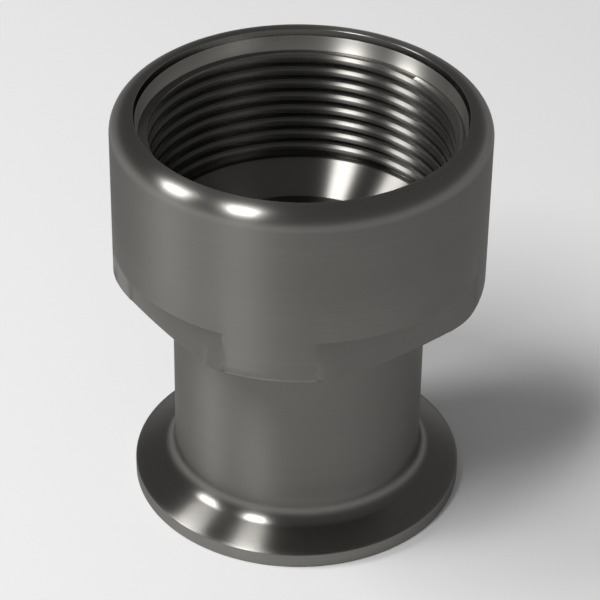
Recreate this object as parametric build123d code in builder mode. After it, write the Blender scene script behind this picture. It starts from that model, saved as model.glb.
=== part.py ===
"""Sanitary clamp threaded adapter, 1-1/2 inch clamp ferrule by 1-1/2 inch female taper pipe thread.

One stainless steel body, turned from bar and milled with four wrench flats. The origin is the centre
of the ferrule's face, and +Z runs up the axis to the threaded mouth. Millimetres.
"""

import os
from math import atan, degrees, radians, tan

from build123d import *

# Tube end: the bore and the neck
overall_height = 64.4
bore_diameter = 34.8
tube_wall = 1.6

# Clamp ferrule, with a groove in its face for the gasket's bead
gasket_land = 2.6
gasket_groove_width = 3.6
gasket_groove_depth = 1.3
gasket_groove_side = 35
ferrule_rim_land = 1.65
ferrule_rim_thickness = 2.3
ferrule_bevel_angle = 20
neck_chamfer = 1.4

# Tapered thread: 11.5 threads to the inch, on a taper of 1 in 16 on diameter
thread_crest_diameter = 44.5
thread_pitch = 25.4 / 11.5
thread_crest_flat = 0.65
thread_flank_angle = 30
thread_taper = 1 / 16
thread_length = 16.55
thread_start_angle = 42.4

# Rest of the socket: a plain mouth above the thread, a relief and a conical seat below it.
# The mouth and the relief are a little wider than the thread's valleys, which open into both.
valley_clearance = 0.05
mouth_depth = 3.35
relief_width = 1.6
seat_step = 1.0
seat_half_angle = 49

# Head round the socket, whose rim has a large round outside and a small chamfer inside
head_height = 28.7
head_wall = 4.15
rim_round = 0.7 * head_wall
lip_chamfer = 0.25 * head_wall
shoulder_angle = 14

# Wrench flats at the foot of the head, one wall outside the thread's crests
wrench_wall = 1.5
wrench_height = 7.4

# Radii from the bore out to the ferrule's rim
bore_r = bore_diameter / 2
neck_r = bore_r + tube_wall
groove_inner_r = bore_r + gasket_land
groove_outer_r = groove_inner_r + gasket_groove_width
ferrule_r = groove_outer_r + ferrule_rim_land
groove_slope = gasket_groove_depth * tan(radians(gasket_groove_side))

# The thread's valley: half its width at the crests, and its depth
valley_half = (thread_pitch - thread_crest_flat) / 2
thread_height = valley_half / tan(radians(thread_flank_angle))

# Radii of the socket and of the head round it
crest_r = thread_crest_diameter / 2
crest_end_r = crest_r - thread_length * thread_taper / 2
relief_r = crest_end_r + thread_height + valley_clearance
seat_top_r = relief_r - seat_step
mouth_r = crest_r + thread_height + valley_clearance
head_r = mouth_r + head_wall
wrench_width = 2 * (crest_r + wrench_wall)

# Levels, up from the ferrule's face and down from the rim
bevel_top_z = ferrule_rim_thickness + (ferrule_r - neck_r) * tan(radians(ferrule_bevel_angle))
shoulder_z = overall_height - head_height
shoulder_foot_z = shoulder_z - (head_r - neck_r) * tan(radians(shoulder_angle))
wrench_top_z = shoulder_z + wrench_height
mouth_floor_z = overall_height - mouth_depth
relief_top_z = mouth_floor_z - thread_length
seat_top_z = relief_top_z - relief_width
seat_foot_z = seat_top_z - (seat_top_r - bore_r) / tan(radians(seat_half_angle))


def corner(r, z):
    """The corner of the half section at a radius and a height."""
    return half_section.vertices().sort_by_distance((r, z))[0]


with BuildPart() as adapter_body:
    # The body's half section, turned about the axis
    with BuildSketch(Plane.XZ) as half_section:
        with BuildLine():
            Polyline(
                (bore_r, 0),
                (groove_inner_r, 0),
                (groove_inner_r + groove_slope, gasket_groove_depth),
                (groove_outer_r - groove_slope, gasket_groove_depth),
                (groove_outer_r, 0),
                (ferrule_r, 0),
                (ferrule_r, ferrule_rim_thickness),
                (neck_r, bevel_top_z),
                (neck_r, shoulder_foot_z),
                (head_r, shoulder_z),
                (head_r, overall_height),
                (mouth_r, overall_height),
                (mouth_r, mouth_floor_z),
                (crest_r, mouth_floor_z),
                (crest_end_r, relief_top_z),
                (relief_r, relief_top_z),
                (relief_r, seat_top_z),
                (seat_top_r, seat_top_z),
                (bore_r, seat_foot_z),
                close=True,
            )
        make_face()
        fillet(corner(head_r, overall_height), rim_round)
        chamfer(corner(mouth_r, overall_height), lip_chamfer)
        chamfer(corner(neck_r, bevel_top_z), neck_chamfer)
    revolve(axis=Axis.Z)

    # Four wrench flats, milled from the shoulder up through the foot of the head
    with BuildSketch(Plane.XY.offset(shoulder_foot_z)):
        Circle(head_r)
        Rectangle(wrench_width, wrench_width, mode=Mode.SUBTRACT)
    extrude(amount=wrench_top_z - shoulder_foot_z, mode=Mode.SUBTRACT)

# The thread's valley, swept up a helix on the crests' cone from the relief to the open mouth.
# Its flanks run on past the crests, so that the cutter's open side lies clear inside the bore.
helix_foot_z = (relief_top_z + seat_top_z) / 2
cutter_overlap = 0.2
cutter_half = valley_half + cutter_overlap * tan(radians(thread_flank_angle))
with BuildPart() as thread_valley:
    with BuildLine() as helix:
        Helix(
            pitch=thread_pitch,
            height=mouth_floor_z + thread_pitch / 2 - helix_foot_z,
            radius=crest_r - (mouth_floor_z - helix_foot_z) * thread_taper / 2,
            center=(0, 0, helix_foot_z),
            cone_angle=degrees(atan(thread_taper / 2)),
        )
    with BuildSketch(Plane(origin=helix.line @ 0, x_dir=(1, 0, 0), z_dir=(0, -1, 0))):
        with BuildLine():
            Polyline(
                (-cutter_overlap, -cutter_half),
                (thread_height, 0),
                (-cutter_overlap, cutter_half),
                close=True,
            )
        make_face()
    sweep(path=helix.line, is_frenet=True)

with adapter_body:
    add(thread_valley.part, rotation=(0, 0, thread_start_angle), mode=Mode.SUBTRACT)
adapter_body.part.label = "adapter_body"

os.makedirs("parts", exist_ok=True)
export_step(adapter_body.part, "parts/adapter_body.step")
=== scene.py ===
"""Sanitary clamp threaded adapter in turned stainless steel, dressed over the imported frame.

The body is one skin. Its rows run round the axis and its columns run round the section. Each band
between two rows has a zone, which is the number of its material.
"""
from math import acos, cos, pi, radians, sin, sqrt, tan

import bmesh
import bpy
from mathutils import Matrix, Vector


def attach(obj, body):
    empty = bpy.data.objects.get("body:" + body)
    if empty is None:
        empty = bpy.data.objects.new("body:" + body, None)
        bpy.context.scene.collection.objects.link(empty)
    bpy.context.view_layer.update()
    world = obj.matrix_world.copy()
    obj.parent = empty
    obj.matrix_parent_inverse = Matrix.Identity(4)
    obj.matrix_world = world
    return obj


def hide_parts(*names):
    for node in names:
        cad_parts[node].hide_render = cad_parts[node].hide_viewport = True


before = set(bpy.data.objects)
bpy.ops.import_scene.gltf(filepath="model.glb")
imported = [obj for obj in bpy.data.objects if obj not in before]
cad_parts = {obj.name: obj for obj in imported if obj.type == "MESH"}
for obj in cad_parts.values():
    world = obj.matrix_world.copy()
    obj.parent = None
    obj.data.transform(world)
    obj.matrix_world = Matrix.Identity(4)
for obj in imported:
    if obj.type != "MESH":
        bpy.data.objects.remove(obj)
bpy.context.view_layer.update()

# Sizes in millimetres, the same as in the CAD source to within 0.01
HEIGHT = 64.4
BORE_R = 17.4
FERRULE_R = 25.25
FERRULE_RIM = 2.3
BEVEL = radians(20)
GROOVE_R = 21.8
GROOVE_HALF = 1.8
GROOVE_DEPTH = 1.3
NECK_R = 19.0
HEAD_R = 27.8
SHOULDER_Z = 35.7
SHOULDER = radians(14)
FLAT_TOP_Z = 43.1
FLAT_HALF = 23.75
RIM_ROUND = 2.9
MOUTH_R = 23.65
MOUTH_FLOOR_Z = 61.05
CREST_R = 22.25
PITCH = 25.4 / 11.5
TAPER = 1 / 32
CREST_FLAT = 0.65
VALLEY_CLEARANCE = 0.05
THREAD_START_ANGLE = radians(42.4)
RELIEF_TOP_Z = 44.5
SEAT_TOP_Z = 42.9
SEAT_STEP = 1.0
SEAT = radians(49)

# Finer forms, plainer in the solid: the rounds, and the lip's edge with the foot of its ring, which is
# painted dark as painted shade
NECK_FILLET = 2.8
FOOT_ROUND = 2.8
FERRULE_EDGE = 0.25
BORE_EDGE = 0.15
NECK_TOP_ROUND = 0.3
FLAT_EDGE = 0.16
LEDGE_EDGE = 0.14
LEDGE_CORNER = 0.04
LIP_R = 24.3
LIP_FOOT = (24.0, 63.2)
LIP_EDGE = 0.14
MOUTH_ROUND = 4
MOUTH_EDGE = (0.04, 0.05)
RELIEF_EDGE = 0.06
SEAT_TOP_EDGE = 0.15
SEAT_FOOT_EDGE = 0.2
CREST_ROUND = 0.26
ROOT_HALF = 0.1
ROOT_DIP = 0.05
BRIGHT_FLANK = 0.45

# The groove's worn edge: distance out from the groove and height, for two rows
GROOVE_EDGE = [(0.12, 0), (0.05, 0.02)]

# Columns over one wrench flat and over the corner between two flats
FLAT_COLUMNS = 58
CORNER_COLUMNS = 26

# Steps of the rounds that are drawn by their own formulas
FOOT_STEPS = 8
GROOVE_STEPS = 14
CREST_STEPS = 4

# Heights of the rows that part the long straight walls, and the rows near the flats' ends
NECK_ROWS = (12.0, 22.0)
HEAD_ROWS = (50.0, 56.0)
BORE_ROWS = (26.0, 12.0)
ABOVE_FOOT = 0.15
BELOW_LEDGE = 0.6

# How close to the head's own radius the wrench section counts as corner
CORNER_MARGIN = 0.3

# Length of the section for one unit of the turned map, in mm
MAP_UNIT = 100

# Points nearer than this, in metres, are joined, and edges that turn by more than this stay sharp
JOIN_DISTANCE = 4e-7
SHARP_ANGLE = radians(33)

# The zones, in the order of the materials: the lip's ring is painted shade and the corners' foot a
# painted highlight
OUTSIDE, LIP_PAINTED_SHADE, INSIDE, FLANK, FACE, CORNER_PAINTED_HIGHLIGHT = range(6)

SHOULDER_FOOT = (NECK_R, SHOULDER_Z - (HEAD_R - NECK_R) * tan(SHOULDER))
NECK_ROOT = (NECK_R, FERRULE_RIM + (FERRULE_R - NECK_R) * tan(BEVEL))
VALLEY_HALF = (PITCH - CREST_FLAT) / 2
THREAD_HEIGHT = VALLEY_HALF * sqrt(3)
THREAD_START_Z = (RELIEF_TOP_Z + SEAT_TOP_Z) / 2


def crest_r(z):
    """Radius of the thread's crests at a height, from the taper."""
    return CREST_R - (MOUTH_FLOOR_Z - z) * TAPER


RELIEF_R = crest_r(RELIEF_TOP_Z) + THREAD_HEIGHT + VALLEY_CLEARANCE
SEAT_TOP = (RELIEF_R - SEAT_STEP, SEAT_TOP_Z)
SEAT_FOOT = (BORE_R, SEAT_TOP_Z - (SEAT_TOP[0] - BORE_R) / tan(SEAT))


def column_angles():
    """Angles of the columns round the axis, with one exactly on each edge of each wrench flat."""
    edge = acos(FLAT_HALF / HEAD_R)
    angles = []
    for quarter in range(4):
        normal = quarter * pi / 2
        angles += [normal - edge + 2 * edge * k / FLAT_COLUMNS for k in range(FLAT_COLUMNS)]
        corner = pi / 2 - 2 * edge
        angles += [normal + edge + corner * k / CORNER_COLUMNS for k in range(CORNER_COLUMNS)]
    return angles + [angles[0] + 2 * pi]


def rounded(before, corner, after, radius, steps):
    """Points of the round of that radius at a corner between two straight runs."""
    a = (Vector(before) - Vector(corner)).normalized()
    b = (Vector(after) - Vector(corner)).normalized()
    turn = pi - a.angle(b)
    reach = radius * tan(turn / 2)
    centre = Vector(corner) + (a + b).normalized() * (radius / cos(turn / 2))
    start = Vector(corner) + a * reach - centre
    side = 1 if start.cross(Vector(corner) + b * reach - centre) > 0 else -1
    points = []
    for k in range(steps + 1):
        t = side * turn * k / steps
        x = centre.x + start.x * cos(t) - start.y * sin(t)
        y = centre.y + start.x * sin(t) + start.y * cos(t)
        points.append((x, y))
    return points


def zoned(points, zone):
    """Rows of the skin: points of the section, each with the zone of the band that follows it."""
    return [(point, zone) for point in points]


def face_rows():
    """The ferrule's face, from the bore outwards, with the gasket's round groove."""
    inner, outer = GROOVE_R - GROOVE_HALF, GROOVE_R + GROOVE_HALF
    ball = (GROOVE_HALF**2 + GROOVE_DEPTH**2) / (2 * GROOVE_DEPTH)
    sweep = acos((ball - GROOVE_DEPTH) / ball)
    points = rounded(SEAT_FOOT, (BORE_R, 0), (GROOVE_R, 0), BORE_EDGE, 3)
    points += [(inner - out, up) for out, up in GROOVE_EDGE]
    # The groove's arc stops short of its worn edges by this angle
    ease = 0.06
    for k in range(GROOVE_STEPS + 1):
        t = -sweep + ease + 2 * (sweep - ease) * k / GROOVE_STEPS
        points.append((GROOVE_R + ball * sin(t), GROOVE_DEPTH - ball + ball * cos(t)))
    points += [(outer + out, up) for out, up in reversed(GROOVE_EDGE)]
    return zoned(points, FACE)


def ferrule_rows():
    """The ferrule's rim and bevelled back, the fillet at its root and the neck."""
    rim = (FERRULE_R, FERRULE_RIM)
    points = rounded((GROOVE_R, 0), (FERRULE_R, 0), rim, FERRULE_EDGE, 5)
    points += rounded((FERRULE_R, 0), rim, NECK_ROOT, FERRULE_EDGE, 4)
    points += rounded(rim, NECK_ROOT, SHOULDER_FOOT, NECK_FILLET, 14)
    points += [(NECK_R, z) for z in NECK_ROWS]
    points += rounded(NECK_ROOT, SHOULDER_FOOT, (HEAD_R, SHOULDER_Z), NECK_TOP_ROUND, 4)
    return zoned(points, OUTSIDE)


def underside_z(r):
    """Height of the shoulder's underside at a radius."""
    return SHOULDER_FOOT[1] + (r - NECK_R) * tan(SHOULDER)


def flat_r(angle):
    """Radius of the wrench section at an angle: the flats, or the head's own round between them."""
    off = (angle + pi / 4) % (pi / 2) - pi / 4
    return min(HEAD_R, FLAT_HALF / cos(off))


def wrench_foot(edge_r):
    """The foot of the wrench section: the head's turned round, as far out as the flats leave it."""
    turned = rounded(SHOULDER_FOOT, (HEAD_R, SHOULDER_Z), (HEAD_R, HEIGHT), FOOT_ROUND, FOOT_STEPS)
    # Where the flats leave nothing of the turned round, their own fine edge takes its place
    hair = 0.02
    if edge_r <= turned[0][0] + hair:
        edge = (edge_r, underside_z(edge_r))
        return rounded(SHOULDER_FOOT, edge, (edge_r, HEIGHT), FLAT_EDGE, FOOT_STEPS)
    middle = turned[-1][1]
    start = pi / 2 - SHOULDER
    end = acos(1 - (HEAD_R - edge_r) / FOOT_ROUND)
    points = []
    for k in range(FOOT_STEPS + 1):
        lean = start + (end - start) * k / FOOT_STEPS
        points.append((HEAD_R - FOOT_ROUND * (1 - cos(lean)), middle - FOOT_ROUND * sin(lean)))
    return points


def wrench_rows(angle):
    """The shoulder's underside, the wrench section, the ledge over its flats and the head's wall."""
    edge_r = flat_r(angle)
    half_way = (NECK_R + FLAT_HALF) / 2
    foot = wrench_foot(edge_r)
    ledge = min(1, (HEAD_R - edge_r) / CORNER_MARGIN)
    rows = zoned([(half_way, underside_z(half_way))] + foot[:2], OUTSIDE)
    # The corners' foot takes the brighter material, a painted highlight along that edge
    rows += zoned(foot[2:5], CORNER_PAINTED_HIGHLIGHT if edge_r > HEAD_R - CORNER_MARGIN else OUTSIDE)
    points = foot[5:] + [(edge_r, foot[-1][1] + ABOVE_FOOT)]
    points += [(edge_r, FLAT_TOP_Z - BELOW_LEDGE), (edge_r, FLAT_TOP_Z)]
    points += [(HEAD_R - LEDGE_EDGE * ledge, FLAT_TOP_Z)]
    points += [(HEAD_R - LEDGE_CORNER * ledge, FLAT_TOP_Z + LEDGE_CORNER)]
    points += [(HEAD_R, FLAT_TOP_Z + LEDGE_EDGE)] + [(HEAD_R, z) for z in HEAD_ROWS]
    return rows + zoned(points, OUTSIDE)


def rim_rows():
    """The rim's large outer round, the lip and the mouth, which narrows a little towards the thread."""
    rim = rounded((HEAD_R, FLAT_TOP_Z), (HEAD_R, HEIGHT), (LIP_R, HEIGHT), RIM_ROUND, 18)
    lip = rounded((HEAD_R, HEIGHT), (LIP_R, HEIGHT), LIP_FOOT, LIP_EDGE, 4)
    mouth = rounded((LIP_R, HEIGHT), LIP_FOOT, (MOUTH_R, MOUTH_FLOOR_Z), MOUTH_ROUND, 3)
    across, up = MOUTH_EDGE
    floor_edge = [(MOUTH_R, MOUTH_FLOOR_Z + up), (MOUTH_R - across, MOUTH_FLOOR_Z)]
    # The band below the lip's edge takes the ring's dark material, which is painted shade
    rows = zoned(rim + lip[:4], OUTSIDE) + zoned(lip[4:], LIP_PAINTED_SHADE)
    return rows + zoned(mouth, INSIDE) + zoned(floor_edge, FLANK)


def half_valley():
    """Half of the thread's valley: distance from its middle, depth, and the zone on its far side.

    The crest's corners are worn round, and so is the root.
    """
    half = [(0.0, (VALLEY_HALF - ROOT_HALF) * sqrt(3) + ROOT_DIP, FLANK)]
    half.append((ROOT_HALF, (VALLEY_HALF - ROOT_HALF) * sqrt(3), FLANK))
    half.append((BRIGHT_FLANK, (VALLEY_HALF - BRIGHT_FLANK) * sqrt(3), INSIDE))
    for step in range(CREST_STEPS + 1):
        lean = radians(60 - 60 * step / CREST_STEPS)
        distance = VALLEY_HALF + CREST_ROUND / sqrt(3) - CREST_ROUND * sin(lean)
        half.append((distance, CREST_ROUND * (1 - cos(lean)), INSIDE))
    half.append((PITCH / 2, 0.0, INSIDE))
    return half


valley = half_valley()

# The thread's rows over one pitch: offset from the valley's middle, and the zone of the band below
offsets = [(-valley[k][0], valley[k][2]) for k in range(len(valley) - 1, 0, -1)]
offsets += [(valley[k][0], valley[max(k - 1, 0)][2]) for k in range(len(valley) - 1)]


def valley_depth(offset):
    """Depth of the thread below its crests at an offset from the middle of the valley."""
    for near, far in zip(valley, valley[1:]):
        if abs(offset) <= far[0]:
            part = (abs(offset) - near[0]) / (far[0] - near[0])
            return near[1] + (far[1] - near[1]) * part
    return 0.0


def thread_depth(z, angle):
    """Depth of the thread below its crests at a place."""
    turn = (angle - THREAD_START_ANGLE) / (2 * pi)
    offset = (z - THREAD_START_Z - PITCH * turn + PITCH / 2) % PITCH - PITCH / 2
    return valley_depth(offset)


def thread_rows(angle):
    """The thread, whose rows follow its helix, from the mouth's floor down to the relief."""
    start = THREAD_START_Z + PITCH * (angle - THREAD_START_ANGLE) / (2 * pi)
    # Turns past the socket's ends fold up on them, and joining the doubled points takes them away
    turns = int((MOUTH_FLOOR_Z - THREAD_START_Z) / PITCH) + 3
    rows = []
    for turn in range(-2, turns):
        for offset, zone in offsets:
            z = min(MOUTH_FLOOR_Z, max(RELIEF_TOP_Z, start + PITCH * turn + offset))
            rows.append(((crest_r(z) + thread_depth(z, angle), z), zone))
    return rows[::-1]


def socket_rows():
    """The relief, the seat's cone and the bore."""
    points = [(RELIEF_R - RELIEF_EDGE, RELIEF_TOP_Z), (RELIEF_R, RELIEF_TOP_Z - RELIEF_EDGE)]
    points += [(RELIEF_R, SEAT_TOP_Z + RELIEF_EDGE), (RELIEF_R - RELIEF_EDGE, SEAT_TOP_Z)]
    points += rounded((RELIEF_R, SEAT_TOP_Z), SEAT_TOP, SEAT_FOOT, SEAT_TOP_EDGE, 4)
    points += rounded(SEAT_TOP, SEAT_FOOT, (BORE_R, 0), SEAT_FOOT_EDGE, 3)
    points += [(BORE_R, z) for z in BORE_ROWS]
    return zoned(points, INSIDE)


def column(angle):
    """One column's rows, round the whole section."""
    rows = face_rows() + ferrule_rows() + wrench_rows(angle)
    return rows + rim_rows() + thread_rows(angle) + socket_rows()


def places_along(columns):
    """Place of each row along the section in the turned map, the mean of all the columns.

    It is the same all the way round, so the turning lines run along the rows.
    """
    count = len(columns[0])
    lengths = []
    for rows in columns:
        walked = [0.0]
        for k in range(count):
            p, q = rows[k][0], rows[(k + 1) % count][0]
            walked.append(walked[-1] + sqrt((p[0] - q[0]) ** 2 + (p[1] - q[1]) ** 2))
        lengths.append(walked)
    means = [sum(walked[k] for walked in lengths) / len(lengths) for k in range(count + 1)]
    return [mean / MAP_UNIT for mean in means]


def skin_mesh():
    """The whole body as one mesh of rows and columns, with a zone for each band and a turned UV map."""
    angles = column_angles()
    columns = [column(angle) for angle in angles]
    count = len(columns[0])
    along = places_along(columns)
    vertices = []
    for angle, rows in zip(angles, columns):
        c, s = cos(angle), sin(angle)
        vertices += [(r * c / 1000, r * s / 1000, z / 1000) for (r, z), zone in rows]
    faces, zones, uvs = [], [], []
    for j in range(len(angles) - 1):
        u0, u1 = j / (len(angles) - 1), (j + 1) / (len(angles) - 1)
        for k in range(count):
            n = (k + 1) % count
            faces.append((j * count + k, (j + 1) * count + k, (j + 1) * count + n, j * count + n))
            zones.append(columns[j][k][1])
            uvs.append([(u0, along[k]), (u1, along[k]), (u1, along[k + 1]), (u0, along[k + 1])])
    mesh = bpy.data.meshes.new("adapter_skin")
    mesh.from_pydata(vertices, [], faces)
    mesh.polygons.foreach_set("material_index", zones)
    layer = mesh.uv_layers.new(name="turned")
    layer.data.foreach_set("uv", [x for face in uvs for corner in face for x in corner])
    join_rows(mesh)
    mesh.polygons.foreach_set("use_smooth", [True] * len(mesh.polygons))
    mesh.set_sharp_from_angle(angle=SHARP_ANGLE)
    return mesh


def join_rows(mesh):
    """Join the mesh's doubled points, drop its empty faces and turn the others outwards."""
    work = bmesh.new()
    work.from_mesh(mesh)
    bmesh.ops.remove_doubles(work, verts=work.verts, dist=JOIN_DISTANCE)
    bmesh.ops.dissolve_degenerate(work, edges=work.edges, dist=JOIN_DISTANCE)
    bmesh.ops.recalc_face_normals(work, faces=work.faces)
    work.to_mesh(mesh)
    work.free()


# The steel's warm tint, and its tint at grazing angles
TINT = (1.0, 0.97, 0.91)
GRAZING = (0.6, 0.6, 0.6, 1.0)

# Noises, by how fine they are across the axis and along the turned map
WEAR_BANDS = (14, 14, 260)
WEAR_PATCHES = (45, 45, 12)
TURNING_LINES = (30, 30, 900)
PATCH_SHARE = 0.45


def place_of(tree):
    """Where on the surface: X and Y of the object with the turned map's V, and the height by itself."""
    nodes, links = tree.nodes, tree.links
    uv = nodes.new("ShaderNodeUVMap")
    uv.uv_map = "turned"
    split_uv = nodes.new("ShaderNodeSeparateXYZ")
    links.new(uv.outputs["UV"], split_uv.inputs["Vector"])
    place = nodes.new("ShaderNodeTexCoord")
    split = nodes.new("ShaderNodeSeparateXYZ")
    links.new(place.outputs["Object"], split.inputs["Vector"])
    where = nodes.new("ShaderNodeCombineXYZ")
    links.new(split.outputs["X"], where.inputs["X"])
    links.new(split.outputs["Y"], where.inputs["Y"])
    links.new(split_uv.outputs["Y"], where.inputs["Z"])
    return where.outputs["Vector"], split.outputs["Z"]


def noise(tree, where, scale, detail):
    """Noise stretched along the turning lines."""
    stretch = tree.nodes.new("ShaderNodeMapping")
    stretch.inputs["Scale"].default_value = scale
    tree.links.new(where, stretch.inputs["Vector"])
    texture = tree.nodes.new("ShaderNodeTexNoise")
    texture.inputs["Scale"].default_value = 1.0
    texture.inputs["Detail"].default_value = detail
    tree.links.new(stretch.outputs["Vector"], texture.inputs["Vector"])
    return texture.outputs["Fac"]


def product(tree, value, factor, low, high):
    """A value times a factor that is spread from low to high."""
    spread = tree.nodes.new("ShaderNodeMapRange")
    spread.inputs["To Min"].default_value = low
    spread.inputs["To Max"].default_value = high
    tree.links.new(factor, spread.inputs["Value"])
    times = tree.nodes.new("ShaderNodeMath")
    times.operation = "MULTIPLY"
    tree.links.new(value, times.inputs[0])
    tree.links.new(spread.outputs["Result"], times.inputs[1])
    return times.outputs["Value"]


def by_height(tree, height, stops):
    """A value that changes along the height, from (height in mm, value) stops."""
    up = tree.nodes.new("ShaderNodeMapRange")
    up.inputs["From Max"].default_value = HEIGHT / 1000
    tree.links.new(height, up.inputs["Value"])
    ramp = tree.nodes.new("ShaderNodeValToRGB")
    marks = ramp.color_ramp.elements
    while len(marks) < len(stops):
        marks.new(0.5)
    for mark, (z, value) in zip(marks, stops):
        mark.position = z / HEIGHT
    for mark, (z, value) in zip(marks, stops):
        mark.color = (value, value, value, 1.0)
    tree.links.new(up.outputs["Result"], ramp.inputs["Fac"])
    return ramp.outputs["Color"]


def wear(tree, where):
    """Wear, in bands along the turning lines and in broad patches."""
    mix = tree.nodes.new("ShaderNodeMix")
    mix.data_type = "FLOAT"
    mix.inputs["Factor"].default_value = PATCH_SHARE
    tree.links.new(noise(tree, where, WEAR_BANDS, 2), mix.inputs["A"])
    tree.links.new(noise(tree, where, WEAR_PATCHES, 2), mix.inputs["B"])
    return mix.outputs["Result"]


def turning_lines(tree, where, depth):
    """The turning lines themselves, as deep as that in mm."""
    bump = tree.nodes.new("ShaderNodeBump")
    bump.inputs["Strength"].default_value = 1.0
    bump.inputs["Distance"].default_value = depth / 1000
    tree.links.new(noise(tree, where, TURNING_LINES, 1), bump.inputs["Height"])
    return bump.outputs["Normal"]


def steel(name, levels, anisotropy, lines, grain):
    """Turned stainless steel, from (height in mm, grey, roughness) levels.

    The turning lines round the axis are as deep as lines, in mm, and grain is the wear's share.
    """
    material = bpy.data.materials.new(name)
    material.use_nodes = True
    tree = material.node_tree
    nodes, links = tree.nodes, tree.links
    shader = nodes["Principled BSDF"]
    shader.inputs["Metallic"].default_value = 1.0
    shader.inputs["Anisotropic"].default_value = anisotropy
    shader.inputs["Anisotropic Rotation"].default_value = 0.25
    shader.inputs["Specular Tint"].default_value = GRAZING
    tangent = nodes.new("ShaderNodeTangent")
    tangent.direction_type = "UV_MAP"
    tangent.uv_map = "turned"
    links.new(tangent.outputs["Tangent"], shader.inputs["Tangent"])

    where, height = place_of(tree)
    worn = wear(tree, where)
    roughness = by_height(tree, height, [(z, rough) for z, grey, rough in levels])
    links.new(product(tree, roughness, worn, 1 + grain, 1 - grain), shader.inputs["Roughness"])
    shade = by_height(tree, height, [(z, grey) for z, grey, rough in levels])
    tinted = nodes.new("ShaderNodeVectorMath")
    tinted.operation = "SCALE"
    tinted.inputs[0].default_value = TINT
    links.new(product(tree, shade, worn, 1 - grain, 1 + grain), tinted.inputs["Scale"])
    links.new(tinted.outputs["Vector"], shader.inputs["Base Color"])
    links.new(turning_lines(tree, where, lines), shader.inputs["Normal"])
    return material


def turned_steel():
    """The outside: a bright ferrule, the satin neck and head, and the polished rim."""
    levels = [(2.1, 0.24, 0.4), (2.6, 0.2, 0.22), (4.8, 0.2, 0.25), (6.4, 0.22, 0.3)]
    levels += [(9.0, 0.215, 0.45), (35.6, 0.215, 0.45), (61.4, 0.2, 0.46), (62.6, 0.24, 0.28)]
    return steel("turned_steel", levels, anisotropy=0.9, lines=0.002, grain=0.08)


def lip_ring_painted_shade_steel():
    """The ring inside the rim's lip, painted dark as painted shade of its shadowed edge."""
    # The low grey is painted shade of the ring's shadowed edge
    levels = [(0, 0.14, 0.2), (60, 0.14, 0.2)]
    return steel("lip_ring_painted_shade", levels, anisotropy=0.4, lines=0.001, grain=0.08)


def bored_steel_and_painted_mouth_highlight():
    """The inside: the seat's cone, a little darker, the thread's crests, and the mouth, painted
    brighter as a painted highlight of the lamps.
    """
    # The mouth's grey, far above the crests', is a painted highlight of the lamps; the seat's cone is a
    # little darker
    levels = [(42.9, 0.17, 0.3), (43.2, 0.24, 0.35), (60.9, 0.24, 0.35), (61.2, 0.6, 0.36)]
    return steel("bored_steel_and_painted_mouth_highlight", levels, anisotropy=1.0, lines=0.0, grain=0.05)


def flank_steel():
    """The thread's valleys and the mouth's narrow floor."""
    levels = [(44, 0.22, 0.25), (61, 0.22, 0.25)]
    return steel("flank_steel", levels, anisotropy=0.3, lines=0.001, grain=0.08)


def faced_steel():
    """The ferrule's face, with its groove."""
    levels = [(0, 0.3, 0.38), (2, 0.3, 0.38)]
    return steel("faced_steel", levels, anisotropy=0.8, lines=0.003, grain=0.1)


def corner_painted_highlight_steel():
    """The foot of the corners between the wrench flats, painted brighter as a painted highlight along
    that edge.
    """
    # The grey above the satin's is a painted highlight along the corners' foot
    levels = [(35, 0.3, 0.4), (38, 0.3, 0.4)]
    return steel("corner_painted_highlight_steel", levels, anisotropy=0.9, lines=0.001, grain=0.05)


def adapter():
    """The whole adapter, in place of its CAD mesh."""
    skin = bpy.data.objects.new("adapter_skin", skin_mesh())
    bpy.context.scene.collection.objects.link(skin)
    for material in (turned_steel, lip_ring_painted_shade_steel, bored_steel_and_painted_mouth_highlight, flank_steel, faced_steel, corner_painted_highlight_steel):
        skin.data.materials.append(material())
    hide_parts("adapter_body")
    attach(skin, "root")


def pale_floor():
    """The plain pale floor, 6 m square."""
    half = 3
    corners = [(-half, -half, 0), (half, -half, 0), (half, half, 0), (-half, half, 0)]
    mesh = bpy.data.meshes.new("floor")
    mesh.from_pydata(corners, [], [(0, 1, 2, 3)])
    floor = bpy.data.objects.new("floor", mesh)
    bpy.context.scene.collection.objects.link(floor)
    paint = bpy.data.materials.new("floor_white")
    paint.use_nodes = True
    shader = paint.node_tree.nodes["Principled BSDF"]
    shader.inputs["Base Color"].default_value = (0.97, 0.97, 0.97, 1)
    shader.inputs["Roughness"].default_value = 0.9
    mesh.materials.append(paint)


# Direction from which the photograph is taken: azimuth -36.5 degrees, elevation 35 degrees
VIEW = Vector((-0.4872, -0.6585, 0.5736)).normalized()


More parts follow.
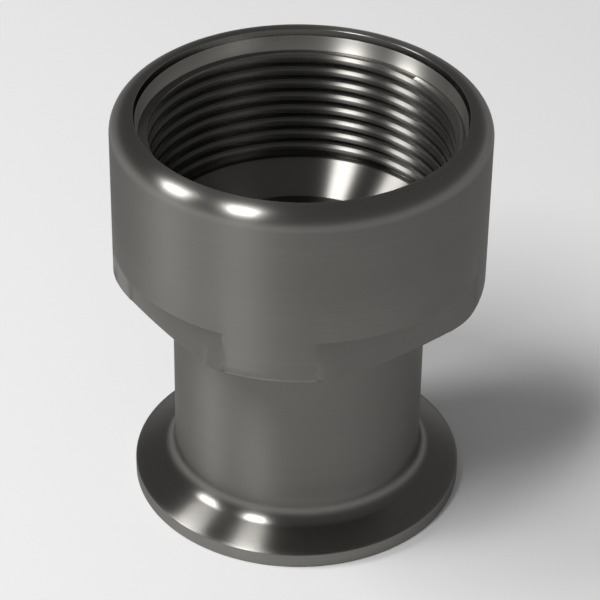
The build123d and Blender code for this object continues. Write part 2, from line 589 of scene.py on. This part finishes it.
def softbox(name, azimuth, lean, width, length, power, distance=0.9):
    """A strip softbox, which the photograph shows mirrored in walls that face one azimuth.

    Its middle is mirrored where the wall leans back by the lean, and its long side follows the
    directions that other leans mirror. Angles in degrees, lengths in metres, power in watts.
    """
    lamp = bpy.data.lights.new(name, "AREA")
    lamp.shape = "RECTANGLE"
    lamp.size = width
    lamp.size_y = length
    lamp.energy = power
    a, n = radians(azimuth), radians(lean)
    wall = Vector((sin(a) * cos(n), -cos(a) * cos(n), sin(n)))
    back = 2 * VIEW.dot(wall) * wall - VIEW
    along = back.cross(Vector((cos(a), sin(a), 0))).normalized()
    across = along.cross(back)
    turn = Matrix((across, along, back)).transposed().to_4x4()
    middle = Vector((0, 0, HEIGHT / 2000))
    box = bpy.data.objects.new(name, lamp)
    box.matrix_world = Matrix.Translation(middle + back * distance) @ turn
    bpy.context.scene.collection.objects.link(box)


def studio():
    """The studio round the object: a pale band near the horizon under a dim ceiling."""
    world = bpy.data.worlds.new("studio")
    world.use_nodes = True
    nodes, links = world.node_tree.nodes, world.node_tree.links
    around = nodes.new("ShaderNodeTexCoord")
    upward = nodes.new("ShaderNodeSeparateXYZ")
    links.new(around.outputs["Generated"], upward.inputs["Vector"])
    dimmer = nodes.new("ShaderNodeMapRange")
    dimmer.interpolation_type = "SMOOTHSTEP"
    dimmer.inputs["From Min"].default_value = 0.0
    dimmer.inputs["From Max"].default_value = 0.35
    dimmer.inputs["To Min"].default_value = 0.75
    dimmer.inputs["To Max"].default_value = 0.16
    links.new(upward.outputs["Z"], dimmer.inputs["Value"])
    links.new(dimmer.outputs["Result"], nodes["Background"].inputs["Strength"])
    nodes["Background"].inputs["Color"].default_value = (1, 1, 1, 1)
    bpy.context.scene.world = world


# The camera, fitted to the photograph's outline: place in metres, turns in degrees, lens in mm
CAMERA_PLACE = (-0.1891, -0.2558, 0.2535)
CAMERA_AZIMUTH = -36.5
CAMERA_TILT = 55.06
CAMERA_ROLL = 0.86
LENS = 154.2


def photo_camera():
    """The camera, at the photograph's angle."""
    camera = bpy.data.cameras.new("camera")
    camera.lens = LENS
    camera.sensor_width = 36
    camera.clip_start, camera.clip_end = 0.02, 20
    eye = bpy.data.objects.new("camera", camera)
    eye.matrix_world = (
        Matrix.Translation(CAMERA_PLACE)
        @ Matrix.Rotation(radians(CAMERA_AZIMUTH), 4, "Z")
        @ Matrix.Rotation(radians(CAMERA_TILT), 4, "X")
        @ Matrix.Rotation(radians(CAMERA_ROLL), 4, "Z")
    )
    bpy.context.scene.collection.objects.link(eye)
    bpy.context.scene.camera = eye


adapter()
pale_floor()
softbox("softbox_high", azimuth=-54.5, lean=50, width=0.17, length=0.5, power=4.2)
softbox("softbox_left", azimuth=-78.5, lean=50, width=0.19, length=0.5, power=3.1)
studio()
photo_camera()
bpy.context.scene.view_settings.view_transform = "Standard"
